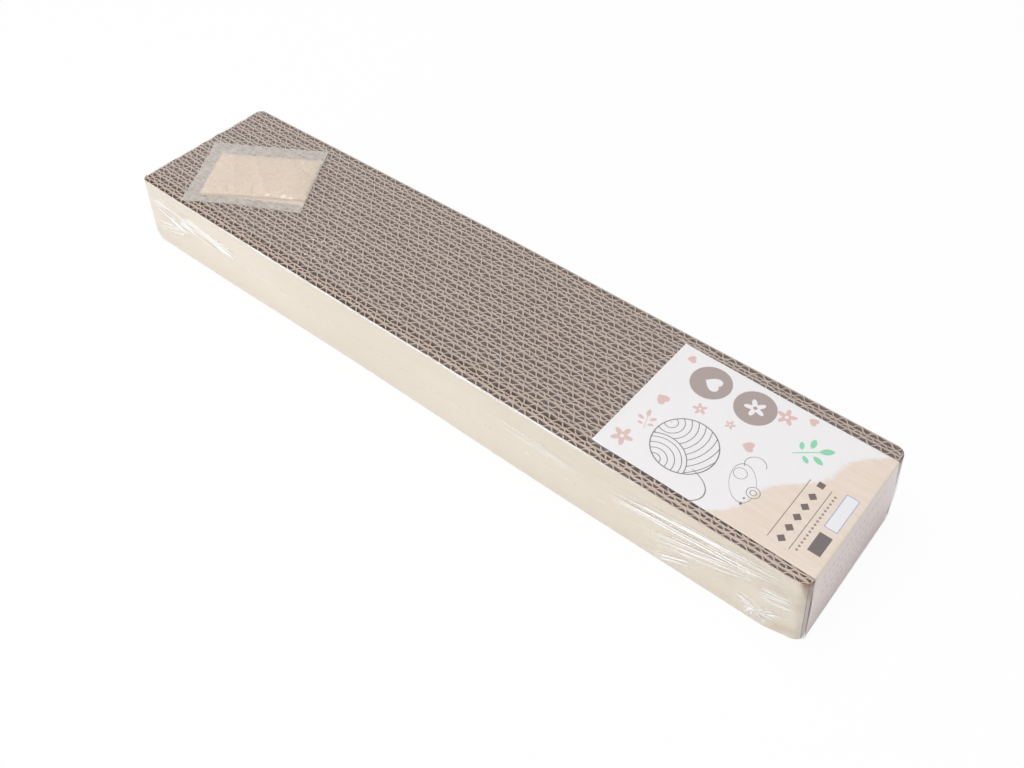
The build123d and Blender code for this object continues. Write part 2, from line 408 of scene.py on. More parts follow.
def addBoards():
    b, s = boardSettings, padSettings
    material = boardMaterial()
    layers = ((b["gapLarge"], b["pitchLarge"]), (b["gapSmall"], b["pitchSmall"]))
    wall = 3 * b["liner"] + b["gapLarge"] + b["gapSmall"]
    for index, stagger in enumerate(b["stagger"]):
        single = index == len(b["stagger"]) - 1
        name = "front_strip" if single else f"strip_{index + 1:02d}"
        startX = s["left"] + stagger * b["staggerReach"]
        y, seed = s["half"] - index * wall, index * 9
        sheets, tones = [linerSheet(y, b["liner"], startX, seed, (0, b["burr"]))], [0.0]
        y -= b["liner"]
        for row, (gap, pitch) in enumerate(layers[:1] if single else layers):
            phase = index * b["phaseStep"] * (1 + row)
            sheets.append(fluteSheet(y, gap, pitch, startX, phase, 100 + seed + row * 3))
            burrs = (b["burr"], 0 if single or row == 1 else b["burr"])
            sheets.append(linerSheet(y - gap, b["liner"], startX, seed + row + 1, burrs))
            tones += [1.0, 0.15 + 0.1 * row]
            y -= gap + b["liner"]
        points, faces = joinSheets(sheets)
        piece = newPiece("fluted_" + name, points, faces, material)
        addAttribute(piece, "paperTone", np.repeat(tones, [len(p) for p, _ in sheets]))
        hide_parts(name)


addBoards()
print("boards made")


# cover papers
coverSettings = {
    "gap": 0.02, "thickness": 0.15, "steps": 310,
    "wrap": 85,                      # degrees that the paper goes round the pad's corners
    "bend": 231.12,                  # x of the painted bend at the labelled end
    "colour": paint(229, 219, 204), "shade": paint(218, 206, 189), "scuff": paint(150, 116, 88),
    # crease: colour of the painted shade in the crease before the bend
    "bent": paint(206, 190, 182), "crease": paint(104, 88, 82), "stain": paint(206, 187, 160),
    "fibre": paint(196, 180, 158),
}


def coverMaterial():
    # cream paper: broad shades, fibres, and stains and a worn bend near the labelled end, with a dark line of
    # painted shade in the crease before the bend
    c, s = coverSettings, padSettings
    material, _, end, place = newMaterial("creamPaper")
    soft = noise(place, 16, 3, (0.35, 1, 1.6))
    fibre = noise(place, 700, 4)
    base = mixColour((soft * 2.2 - 0.6).clamped(), c["shade"], c["colour"])
    base = mixColour(fibre * 0.12, base, c["fibre"])
    x, y, z = split(place)
    lean = y * (-s["splayTurn"] / (s["half"] * mm)) + 1.0
    x = x - lean * (z * (-s["splay"] / s["top"]) + s["splay"] * mm)  # before the splay, at the labelled end
    stained = (noise(place, 70, 3, (0.6, 1, 1)) * 5.0 - 2.5).clamped()
    stained = stained * (x * (1 / (50 * mm)) - 170 / 50).clamped()
    base = mixColour(stained * 0.7, base, c["stain"])
    base = mixColour(x > c["bend"] * mm, base, c["bent"])
    worn = z * (1 / (8 * mm)) - (227.4 / 2.2 + 44 / 8)
    worn = (x * (1 / (2.2 * mm)) + worn).clamped()  # (x - 227.4) / 2.2 + (z - 44) / 8, high on the bend
    base = mixColour(worn * 0.85, base, c["scuff"])
    # painted shade: a dark line 0.1 mm to each side of the crease just before the bend
    base = mixColour(x.calc("COMPARE", (c["bend"] - 0.07) * mm, 0.1 * mm), base, c["crease"])
    addSurface(end, base, 0.6, 0.35, bump(soft * 3.0 + fibre * 0.15, 0.0002))
    return material


def coverGrid(side, outset):
    # plan line of the long side: straight at y = h, then 5 mm quarter circles, stopped short of the ends
    c, s, r = coverSettings, padSettings, boardSettings["cornerRadius"]
    arc = np.linspace(0, math.radians(c["wrap"]), 12)[1:]
    x, drawn = roundedLine((s["right"] - s["left"]) / 2 - r, c["steps"], r + outset, arc)
    x, y = x + (s["right"] + s["left"]) / 2, side * (s["half"] + outset - drawn)
    z = np.linspace(s["base"], s["top"], 26)
    z[-1] -= 0.1
    return padShape(np.stack(np.broadcast_arrays(x[:, None], y[:, None], z[None, :]), -1))


coverPaper = coverMaterial()
for side, name in ((-1, "front_cover_paper"), (1, "back_cover_paper")):
    near = coverSettings["gap"]
    points, faces = closedSheet(coverGrid(side, near), coverGrid(side, near + coverSettings["thickness"]))
    piece = newPiece("sheet_" + name, points, faces, coverPaper)
    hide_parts(name)
print("cover papers made")


# label card
cardSettings = {
    "length": 120.6, "width": 82.1, "thickness": 0.45, "front": -43.3, "skew": 2.5,
    "foldX": 231.475, "lay": 45.1, "foldRadius": 0.6, "foot": 1.3,
    "bulge": 0.9, "bulgeReach": 26,      # end panel: how far it stands out, and where that is full from the front
    "lift": 0.35, "liftReach": 14,       # free end: how high it stands, and how far in
}


def cardGrid(offset):
    # profile carried over the width: flat run, quarter circle at the fold, then down x = e + bulge sin^2(pi t),
    # less of it at the front edge
    c = cardSettings
    r = c["foldRadius"]
    run = c["length"] - r + 0.25
    drop = c["lay"] - c["foot"] - r
    arc = r * np.pi / 2
    u = np.concatenate([
        np.linspace(0, run, 130), run + np.linspace(0, arc, 8)[1:], run + arc + np.linspace(0, drop, 46)[1:],
    ])
    turn = np.clip((u - run) / r, 0, np.pi / 2)
    down = np.clip(u - run - arc, 0, drop)
    flat = np.clip(u, 0, run)
    x = c["foldX"] - c["length"] + flat + (r + offset) * np.sin(turn)
    z = c["lay"] - r + (r + offset) * np.cos(turn) - down
    z = z + c["lift"] * np.clip(1 - flat / c["liftReach"], 0, 1) ** 2 * (turn == 0)
    v = np.linspace(0, c["width"], 64)
    bulge = c["bulge"] * np.sin(np.pi * np.clip(down / drop, 0, 1)) ** 2
    x = x[:, None] + bulge[:, None] * (0.3 + 0.7 * smooth(v / c["bulgeReach"]))[None, :]
    y = c["front"] + v[None, :] + c["skew"] * (1 - flat / run)[:, None]
    grid = np.stack(np.broadcast_arrays(x, y, z[:, None]), -1)
    place = np.stack(np.broadcast_arrays(u[:, None], v[None, :], 0 * u[:, None]), -1)
    return padShape(grid), place


def motifGroup(build):
    # a small drawing of its own, about 1 across: takes a place, gives 1 on the ink and 0 off it
    group = bpy.data.node_groups.new(build.__name__, "ShaderNodeTree")
    group.interface.new_socket("Place", in_out="INPUT", socket_type="NodeSocketVector")
    group.interface.new_socket("Ink", in_out="OUTPUT", socket_type="NodeSocketFloat")
    start, stop = group.nodes.new("NodeGroupInput"), group.nodes.new("NodeGroupOutput")
    group.links.new(build(Field(start.outputs[0])).socket, stop.inputs[0])
    return group


def centred(place, at, size, turn=0.0):
    # the place as seen from a mark: from its middle, turned, and in its half sizes
    inputs = {0: place, 1: (*at, 0), 2: (0, 0, math.radians(turn)), 3: (*size, 1)}
    return addNode(place.tree, "Mapping", inputs, vector_type="TEXTURE")


def spot(place, at, size, inner=None):
    # ellipse: the length of the place, divided by its half sizes, is below 1, and above inner
    flat = addNode(place.tree, "VectorMath", {0: centred(place, at, size), 1: (1, 1, 0)}, operation="MULTIPLY")
    far = distance(flat)
    return far < 1.0 if inner is None else far.calc("COMPARE", (1 + inner) / 2, (1 - inner) / 2)


def block(place, at, size):
    # rectangle: both coordinates lie below the half sizes
    x, y, _ = split(addNode(place.tree, "VectorMath", {0: centred(place, at, size)}, operation="ABSOLUTE"))
    return x.calc("MAXIMUM", y) < 1.0


def anyOf(inks):
    # the strongest of them
    total = inks[0]
    for ink in inks[1:]:
        total = total.calc("MAXIMUM", ink)
    return total


def heart(place):
    # 5.76 x^2 + (2.88 y - 1.16 sqrt|x|)^2 below 1
    x, y, _ = split(place)
    rise = y * 2.88 - x.calc("ABSOLUTE").calc("SQRT") * 1.16
    return rise * rise + x * x * 5.76 < 1.0


def flower(place):
    # five petals: radius below 0.34 + 0.14 cos(5 angle), with a bare middle
    x, y, _ = split(place)
    radius = distance(place)
    lobes = (y.calc("ARCTAN2", x) * 5.0).calc("COSINE")
    return (radius < lobes * 0.14 + 0.34) * (radius > 0.09)


def yarnBall(place):
    # two families of rings, spaced 0.1, inside a circle: the second family where its centre is near
    middle, first, second = (distance(place, at) for at in ((0, 0, 0), (-0.30, -0.34, 0), (0.42, -0.30, 0)))
    rings = (second < 0.47) * (second - first) + first
    threads = rings.calc("PINGPONG", 0.05) < 0.006
    threads = threads.calc("MAXIMUM", second.calc("COMPARE", 0.47, 0.007))
    return (threads * (middle < 0.5)).calc("MAXIMUM", middle.calc("COMPARE", 0.493, 0.008))


def toyMouse(place):
    # outlines of the body, the ear over it and the curled tail, with an eye and a nose
    ear = (0.14, 0.15)
    body = (spot(place, (0, 0), (0.34, 0.19), inner=0.97) - spot(place, ear, (0.1, 0.1))).clamped()
    tail = spot(place, (-0.34, 0.16), (0.15, 0.16), inner=0.94) * (split(place)[0] < -0.3)
    return anyOf([
        body, tail, spot(place, ear, (0.1, 0.1), inner=0.9), spot(place, ear, (0.05, 0.05), inner=0.8),
        spot(place, (0.25, 0.03), (0.016, 0.016)), spot(place, (0.345, -0.01), (0.025, 0.02)),
        spot(place, (-0.16, -0.04), (0.1, 0.1), inner=0.92),
    ])


def leafSprig(place):
    # leaves where two circles overlap, mirrored about the stem
    x, y, _ = split(place)
    place = addNode(place.tree, "CombineXYZ", {0: x.calc("ABSOLUTE"), 1: y})
    leaves = []
    for (atX, atY), turn, size in (((0, 0.24), 90, 0.36), ((0.24, -0.02), 30, 0.3), ((0.2, -0.3), 15, 0.24)):
        a, apart, radius = math.radians(turn), size * 0.42, size * 0.66
        first, second = (
            spot(place, (atX - k * math.sin(a) * apart, atY + k * math.cos(a) * apart), (radius, radius))
            for k in (-1, 1)
        )
        leaves.append(first.calc("MINIMUM", second))
    return anyOf(leaves + [block(place, (0, -0.2), (0.014, 0.36))])


def cardMaterial():
    # coated white card with a wood-toned band and a few plain ornaments, in its own u, v millimetres
    material, tree, end, place = newMaterial("printedCard")
    sheet = attribute(tree, "sheetPlace", "Vector")
    u, v, _ = split(sheet)
    groups = {build: motifGroup(build) for build in (heart, flower, yarnBall, toyMouse, leafSprig)}

    def motif(build, x, y, size, turn):
        return addNode(tree, "Group", {0: centred(sheet, (x, y), (size, size), turn)}, node_tree=groups[build])

    def diamonds(at, first, size, count):
        # |u - at| + |v - nearest of a row 3 sizes apart| below size
        marks = (u - at).calc("ABSOLUTE") + (v - first).calc("PINGPONG", 1.5 * size) < size
        return marks * v.calc("COMPARE", first + 1.5 * size * (count - 1), 1.5 * size * count)

    white, wood = paint(249, 247, 248), paint(246, 231, 219)
    grain = noise(sheet, 0.16, 4, (0.25, 2.2, 1), 0.6)
    woodTone = mixColour((grain * 2.4 - 0.7).clamped(), wood, paint(238, 220, 203))
    edge = (v * 0.16).calc("SINE") * 3.0 + (v * 0.62 + 65.0)
    edge = noise(sheet, 0.5, 4) * 5.0 + (edge - 2.5)
    colour = mixColour(((u - edge) * 0.4 + 0.5).clamped(), white, woodTone)
    below = (u * 0.25 - 30.3).clamped()  # the wood tone runs on a little past the fold
    colour = mixColour(below, colour, paint(243, 222, 218))
    thread = spot(sheet, (44, 6), (16, 10), inner=0.965) * (u > 47.5)
    paleMotifs = (
        (flower, 10, 11, 12, 10), (heart, 60, 44, 7.5, -75), (flower, 66, 72, 11, 30), (heart, 11, 43, 8, -110),
        (heart, 8, 74, 6, -60), (flower, 30, 49, 8, 50), (heart, 77, 78, 6, -100), (flower, 47, 50, 6, 20),
        (leafSprig, 13, 28, 13, 20),
    )
    inks = [
        (paint(232, 196, 192), [motif(*row) for row in paleMotifs]),
        (paint(176, 158, 154), [spot(sheet, (x, 67), (11, 11)) for x in (25, 51)]),
        (white, [motif(heart, 25, 67, 11, -90), motif(flower, 51, 67, 12, -90)]),
        (paint(112, 102, 100), [motif(yarnBall, 37, 25, 34, -80), thread, motif(toyMouse, 70, 24, 34, -62)]),
        (paint(140, 222, 182), [motif(leafSprig, 88, 62, 21, -50)]),
        (paint(104, 86, 80), [diamonds(99.0, 9.0, 2.4, 5), block(sheet, (99, 46), (1.7, 1.7))]),
        (paint(130, 112, 104), [block(sheet, (x, 26), (0.2, 20)) for x in (93.5, 104.5)]),
        (paint(150, 134, 126), [diamonds(107.3, 8.0, 0.8, 16)]),
        (paint(122, 140, 196), [block(sheet, (114, 38), (3.3, 11.2))]),
        (paint(246, 245, 248), [block(sheet, (114, 38), (3.0, 10.9))]),
        (paint(104, 90, 86), [block(sheet, (114, 17), (3.2, 6.0))]),
        (paint(198, 178, 183), [
            diamonds(129, 10.0, 1.4, 15), diamonds(134.5, 12.0, 1.2, 12), diamonds(140, 10.0, 1.4, 14),
        ]),
        (paint(186, 180, 198), [diamonds(146, 20.0, 1.6, 8), diamonds(153, 10.0, 1.3, 15)]),
    ]
    for ink, marks in inks:
        colour = mixColour(anyOf(marks), colour, ink)
    fibre = noise(place, 600, 3)
    inner = mixColour(fibre, paint(168, 150, 140), paint(140, 124, 114))
    colour = mixColour(attribute(tree, "innerSide"), colour, inner)
    addSurface(end, colour, 0.42, 0.4, bump(fibre * 0.1 + noise(place, 22, 2), 0.0003))
    return material


def addCard():
    outer, place = cardGrid(cardSettings["thickness"])
    inner, _ = cardGrid(0.0)
    points, faces = closedSheet(outer, inner)
    piece = newPiece("printed_label_card", points, faces, cardMaterial(), 60)
    addAttribute(piece, "sheetPlace", np.concatenate([place.reshape(-1, 3)] * 2), "FLOAT_VECTOR")
    addAttribute(piece, "innerSide", np.repeat([0.0, 1.0], len(points) // 2))
    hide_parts("label_card")


addCard()
print("label card made")


# sachet
sachetSettings = {
    "length": 75.8, "width": 61.0, "centre": (-177.775, -2.1), "turn": 30.8,
    "endMargin": 7.7, "backMargin": 9.5, "sideDraw": 0.7,
    "frontMargin": (6.2, 11.6),          # at the left end and at the right end
    "cornerPull": 2.0,                   # how far the front right corner is pulled out
    "lay": 45.12, "sheet": 0.25, "height": 2.2, "spacing": 0.95,
    "powderGap": (0.15, 0.22),           # powder to the cloth under it and over it
    # the fold's colour is a painted shade along the powder's front edge
    "clothTones": (paint(241, 233, 223), paint(250, 244, 236)), "foldShadeColour": paint(140, 124, 112),
    "powderTones": (paint(234, 212, 187), paint(243, 225, 203)), "clumpColour": paint(230, 205, 177),
    "shift": 0.8,                        # how far a point of the cloth may move sideways
    "frames": 24, "grow": 10.0,          # the cloth is blown up at ten times its size, where its solver is steady
    "cloth": {
        "quality": 6, "mass": 0.05, "tension_stiffness": 12, "compression_stiffness": 12, "shear_stiffness": 6,
        "bending_stiffness": 0.04, "vertex_group_mass": "held", "use_pressure": True,
        "uniform_pressure_force": 1.6, "shrink_min": -0.03,
    },
}


def sachetAxes(u, v):
    # the sachet's own u, v to the pad's x, y: turned about its centre
    s = sachetSettings
    a = math.radians(s["turn"])
    return s["centre"][0] + u * math.cos(a) - v * math.sin(a), s["centre"][1] + u * math.sin(a) + v * math.cos(a)


def sachetGrid():
    # u, v of the sheet: sides drawn in between the corners by d (1 - (2t)^2), the folded end straight
    s = sachetSettings
    a = np.linspace(-0.5, 0.5, int(s["length"] / s["spacing"]) + 1)
    b = np.linspace(-0.5, 0.5, int(s["width"] / s["spacing"]) + 1)
    a, b = np.meshgrid(a, b, indexing="ij")
    u = a * s["length"] + np.where(a < 0, -2 * a, 0) * s["sideDraw"] * (1 - (2 * b) ** 2)
    v = b * s["width"] - 2 * b * s["sideDraw"] * (1 - (2 * a) ** 2)
    v = v - s["cornerPull"] * np.clip(-2 * b, 0, 1) ** 2 * smooth((a + 0.2) / 0.7)
    return u, v


def frontEdge(u):
    # v of the powder's front edge, straight from one end to the other, less the corner's pull
    s = sachetSettings
    first, last = s["frontMargin"]
    share = u / s["length"]
    pulled = s["cornerPull"] * smooth((share + 0.2) / 0.7)
    return -s["width"] / 2 - pulled + first + (last - first) * (share + 0.5)


def fillShare(u, v):
    # 0 on the sealed margins, rising to 1 in the filled middle
    s = sachetSettings
    left = smooth((u + s["length"] / 2 - s["endMargin"]) / 4)
    right = smooth((s["length"] / 2 - u) / 3)
    back = smooth((s["width"] / 2 - s["backMargin"] - v) / 4)
    front = smooth((v - frontEdge(u)) / 4)
    return left * right * back * front


def blownSheet(u, v):
    # cloth: the middle of the sheet swells under pressure with a little slack, the margins stay put
    s = sachetSettings
    rows, columns = u.shape
    mesh = bpy.data.meshes.new("clothTrial")
    swell = fillShare(u, v) * (0.25 + 0.05 * waves(u, v, 9, 21))
    start = np.stack([u, v, swell], -1).reshape(-1, 3) * mm * s["grow"]
    mesh.from_pydata(start.tolist(), [], gridFaces(rows, columns)[:, ::-1].tolist())
    trial = addObject("clothTrial", mesh)
    if mesh.polygons[0].normal.z < 0:
        mesh.flip_normals()
    held = trial.vertex_groups.new(name="held")
    inside = (
        (u > -s["length"] / 2 + s["endMargin"]) & (u < s["length"] / 2 - 0.6)
        & (v < s["width"] / 2 - s["backMargin"]) & (v > frontEdge(u))
    ).ravel()
    held.add([int(k) for k in np.flatnonzero(~inside)], 1.0, "REPLACE")
    cloth = trial.modifiers.new("cloth", "CLOTH").settings
    for key, value in s["cloth"].items():
        setattr(cloth, key, value)
    cloth.effector_weights.gravity = 0
    scene = bpy.context.scene
    for step in range(1, s["frames"] + 1):
        scene.frame_set(step)
    done = trial.evaluated_get(bpy.context.evaluated_depsgraph_get()).data
    flat = np.zeros(rows * columns * 3)
    done.vertices.foreach_get("co", flat)
    scene.frame_set(1)
    bpy.data.objects.remove(trial)
    moved = flat.reshape(rows, columns, 3) / mm / s["grow"]
    print("cloth rise", moved[..., 2].max())
    return moved


def sachetMaterial():
    # thin non-woven: white fibres over what lies behind, with the small cells of its weave, and a dark line of
    # painted shade along its fold at the powder's front edge
    s = sachetSettings
    material, tree, end, place = newMaterial("nonWoven")
    web = noise(place, 1300, 5, None, 0.7)
    cells = addNode(tree, "TexVoronoi", {"Vector": place, "Scale": 900.0}, "Distance", feature="DISTANCE_TO_EDGE")
    cover = ((web * 0.5 + noise(place, 260, 3) * 0.5) * 1.25 - 0.28).clamped()
    cover = cover * ((cells < 0.28) * 0.15 + 0.9)
    # painted shade: a dark line along the fold at the powder's front edge, where the cloth is also made nearly
    # opaque
    foldShade = attribute(tree, "foldShadeTone")
    colour = mixColour(web, *s["clothTones"])
    colour = mixColour(foldShade * 0.6, colour, s["foldShadeColour"])
    more = {"Sheen Weight": 0.2, "Alpha": cover.calc("MAXIMUM", foldShade * 0.85)}
    addSurface(end, colour, 0.75, 0.3, bump(web, 0.0002), more)
    return material


def powderMaterial():
    # fine grains in two tones, with darker clumps
    s = sachetSettings
    material, _, end, place = newMaterial("driedPowder")
    grains = noise(place, 1500, 4, None, 0.7)
    colour = mixColour(grains, *s["powderTones"])
    colour = mixColour(noise(place, 120, 3) * 0.35, colour, s["clumpColour"])
    addSurface(end, colour, 0.95, 0.1, bump(grains, 0.0001))
    return material


def addSachet():
    s = sachetSettings
    u, v = sachetGrid()
    share = fillShare(u, v)
    lumps = 0.13 * waves(u, v, 24, 31) + 0.08 * waves(u * 0.8 + v * 0.5, v * 2 - u, 16, 32)
    for height, slant, at, width in ((0.3, 0.55, 2, 2.2), (0.2, 0.35, -14, 2.0)):  # two creases across
        lumps = lumps + height * np.exp(-(((u + slant * v - at) / width) ** 2))
    moved = blownSheet(u, v)
    du, dv = (np.clip(moved[..., k] - w, -s["shift"], s["shift"]) for k, w in ((0, u), (1, v)))
    rise = np.clip(moved[..., 2], 0, None)
    swell = share ** 0.75 * (1 + 0.6 * lumps * share)
    rise = s["height"] * np.tanh(rise / rise.max() * 1.6) / math.tanh(1.6) * (0.25 + 0.75 * swell)
    top = s["lay"] + 2 * s["sheet"] + rise + 0.06 * (1 - share) * waves(u, v, 8, 33)
    x, y = sachetAxes(u + du, v + dv)
    lower = np.stack([*sachetAxes(u, v), np.full_like(u, s["lay"])], -1)
    # painted shade along the fold just behind the powder's front edge, a bell 0.75 mm wide
    foldShade = np.exp(-(((v - frontEdge(u) - 0.2) / 0.75) ** 2)) * (u > s["endMargin"] - s["length"] / 2)
    points, faces = closedSheet(np.stack([x, y, top], -1), lower)
    pouch = newPiece("cloth_sachet_pouch", points, faces, sachetMaterial(), 70)
    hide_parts("sachet_pouch")
    addAttribute(pouch, "foldShadeTone", np.concatenate([foldShade.ravel()] * 2))
    # powder: the same crown a little lower, where the sheet stands clear of the margins
    across, along = u[:, u.shape[1] // 2], v[v.shape[0] // 2]
    length, width = s["length"] / 2, s["width"] / 2
    box = np.ix_(
        np.flatnonzero((across > -length + s["endMargin"] + 0.6) & (across < length - 0.8)),
        np.flatnonzero((along > -width + s["frontMargin"][0] + 0.6) & (along < width - s["backMargin"] - 0.6)),
    )
    low, high = s["powderGap"]
    floor = s["lay"] + low
    sunk = 0.2 * (v[box] < frontEdge(u[box]) + 0.4)
    crown = np.maximum(top[box] - high, floor + 0.12)
    points, faces = closedSheet(*(np.stack([x[box], y[box], level - sunk], -1) for level in (crown, floor)))
    powder = newPiece("loose_catnip_powder", points, faces, powderMaterial(), 70)
    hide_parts("catnip_powder")
    return top


sachetTop = addSachet()
print("sachet made")


# shrink film
filmSettings = {
    "gap": 0.16,                 # film to what it covers
    "edgeRadius": 0.8, "cornerRadius": 5.3,
    "stepX": 1.25, "front": 72, "bottom": 26, "back": 34, "top": 70,
    "settle": 0.008,             # how soon the film comes down beside what it covers, and in how many rounds
    "rounds": 160,
    "under": 0.22,               # how far the film lies below the boards
    "cardGap": 0.15,             # film to the card's folded end
    "ends": (16, 20.5),          # loops that close each end, and how far they reach in
    "seam": (24.5, -0.0285, -135, 0.16),      # height at x, slope, that x, how far it stands out
    "pucker": (211.0, 9.0, 8.5, 0.9),         # centre x and z, reach, how far it stands out
    "fine": 0.05, "veil": 0.025,              # thin unevenness, and milkiness of the plain film
    # bundles of tight folds on the front side: first fold's ends, last fold's ends (x, z), count, height
    "bundles": (
        ((-226, 37), (-183, 36), (-227, 30), (-190, 15), 8, 0.6),
        ((-204, 36), (-138, 29), (-212, 28), (-143, 21), 8, 0.65),
        ((-227, 22), (-197, 22), (-225, 9), (-184, 20), 5, 0.45),
        ((118, 33), (228, 43.5), (124, 22), (227, 35), 9, 0.6),
        ((138, 17), (229, 40), (158, 8), (203, 25), 6, 0.5),
        ((206, 28), (229, 32), (212, 18), (229, 21), 3, 0.38),
        ((148, 2), (172, 12), (163, 3), (184, 14), 3, 0.5),
        ((40, 33), (122, 29), (60, 27), (120, 24), 3, 0.18),
    ),
    # vent holes in the film on top, x and y, where small white glints are painted
    "ventGlints": (
        (-102.2, -28.2), (-95.5, -27.3), (-88.2, -24.8), (-92.2, -33.6), (-98.6, -34.6),
        (-81.2, -18.1), (-99.0, -20.9), (-90.0, -18.3), (-104.4, -22.6),
    ),
}


def ridges(t, width, seed):
    # sharp crests of uneven height at whole numbers of t: exp(-(distance / width)^2) times a random height
    dice = np.random.default_rng(seed)
    heights, offsets = dice.uniform(0.25, 1.0, 400), dice.uniform(-0.3, 0.3, 400)
    whole = np.floor(t).astype(int)
    field = 0
    for near in (-1, 0, 1):
        k = np.mod(whole + near, 400)
        field = field + heights[k] * np.exp(-(((t - whole - near - offsets[k]) / width) ** 2))
    return field


def alongLine(x, z, start, run):
    # how far along the line a point lies, 0 at its start and 1 at its end, and how far above it
    dx, dz = x - start[0], z - start[1]
    return (dx * run[0] + dz * run[1]) / (run @ run), (dz * run[0] - dx * run[1]) / np.hypot(*run)


def tightFolds(x, z):
    # each fold is a crest along a sagging line from a to b: h exp(-(distance / width)^2), fading out at its ends
    field = 0 * x
    dice = np.random.default_rng(47)
    for a0, b0, a1, b1, count, height in filmSettings["bundles"]:
        for share in (np.arange(count) + dice.uniform(-0.35, 0.35, count)) / max(count - 1, 1):
            a = np.array(a0) * (1 - share) + np.array(a1) * share + dice.uniform(-2, 2, 2) * (1, 0.3)
            b = np.array(b0) * (1 - share) + np.array(b1) * share + dice.uniform(-4, 4, 2) * (1, 0.2)
            t, off = alongLine(x, z, a, b - a)
            off = off + dice.uniform(-0.8, 0.8) * np.sin(np.pi * np.clip(t, 0, 1))
            width = dice.uniform(0.45, 0.8)
            fade = smooth(t / 0.2) * smooth((1 - t) / 0.25)
            field = field + height * dice.uniform(0.45, 1.0) * np.exp(-((off / width) ** 2)) * fade
    return field


def streakPlace(x, z):
    # for a point of the front side: its place across and along the bundle it lies in, and the bundle's
    # strength there, which fades to all four sides; round the pucker the two are angle and radius
    found = np.zeros(x.shape + (3,))
    for index, (a0, b0, a1, b1, _, height) in enumerate(filmSettings["bundles"]):
        a0, b0, a1, b1 = (np.array(k, float) for k in (a0, b0, a1, b1))
        start, run = (a0 + a1) / 2, (b0 + b1 - a0 - a1) / 2
        length = np.hypot(*run)
        t, off = alongLine(x, z, start, run)
        normal = np.array([-run[1], run[0]]) / length
        ends = np.abs([(a0 - a1) @ normal, (b0 - b1) @ normal]) / 2 + 1.2
        half = ends[0] + (ends[1] - ends[0]) * np.clip(t, 0, 1)
        power = smooth((1 - abs(off / half)) / 0.5) * smooth(t / 0.35) * smooth((1 - t) / 0.35) * height / 0.5
        here = np.stack([off / half * ends.mean() + index * 41, t * length, power], -1)
        found = np.where((power > found[..., 2])[..., None], here, found)
    px, pz, reach, _ = filmSettings["pucker"]
    far = np.hypot(x - px, z - pz)
    turn = np.arctan2(z - pz, x - px)
    power = 1.2 * smooth((1.1 + 0.3 * np.sin(2 * turn + 1) + 0.25 * np.sin(5 * turn) - far / reach) / 0.8)
    here = np.stack([turn * 7.5 + 2 * np.sin(2 * turn) - 50, far * 5, power], -1)
    return np.where((power > found[..., 2])[..., None], here, found)


def highestNear(level):
    # each value raised to the highest of its neighbours, twice over
    for _ in range(2):
        wide = np.pad(level, 1, mode="edge")
        rows, columns = level.shape
        level = np.max([wide[i:i + rows, j:j + columns] for i in range(3) for j in range(3)], 0)
    return level


def sachetCover(x, y):
    # height of the film's rest on the sachet at x, y, read between the grid's points; far below outside it
    s = sachetSettings
    a = math.radians(s["turn"])
    dx, dy = x - s["centre"][0], y - s["centre"][1]
    u, v = dx * math.cos(a) + dy * math.sin(a), -dx * math.sin(a) + dy * math.cos(a)
    rows, columns = sachetTop.shape
    crest = highestNear(sachetTop)
    i = (u / s["length"] + 0.5) * (rows - 1)
    j = (v / s["width"] + 0.5) * (columns - 1)
    inside = (i >= 0) & (i <= rows - 1) & (j >= 0) & (j <= columns - 1)
    i, j = np.clip(i, 0, rows - 1.001), np.clip(j, 0, columns - 1.001)
    k, m = i.astype(int), j.astype(int)
    f, g = i - k, j - m
    top = (crest[k, m] * (1 - f) + crest[k + 1, m] * f) * (1 - g)
    top = top + (crest[k, m + 1] * (1 - f) + crest[k + 1, m + 1] * f) * g
    return np.where(inside, top, -100.0)


def topLevel(x, y):
    # the film over the boards, card and sachet: h = max(what is under it, mean of its neighbours - settle)
    f, c = filmSettings, cardSettings
    onX = x - c["foldX"] + c["length"]  # from the card's free end
    onY = y - c["front"] - c["skew"] * (1 - onX / c["length"])
    onCard = (onX > -0.6) & (onY > -0.6) & (onY < c["width"] + 0.6)
    card = c["lay"] + c["thickness"] + c["lift"] * np.clip(1 - onX / c["liftReach"], 0, 1) ** 2
    under = np.where(onCard, card, padSettings["top"])
    under = np.maximum(under, sachetCover(x, y)) + f["gap"]
    level = under.copy()
    for _ in range(f["rounds"]):
        mean = level.copy()
        mean[1:-1, 1:-1] = (level[2:, 1:-1] + level[:-2, 1:-1] + level[1:-1, 2:] + level[1:-1, :-2]) / 4
        level = np.maximum(under, mean - f["settle"])
    return level


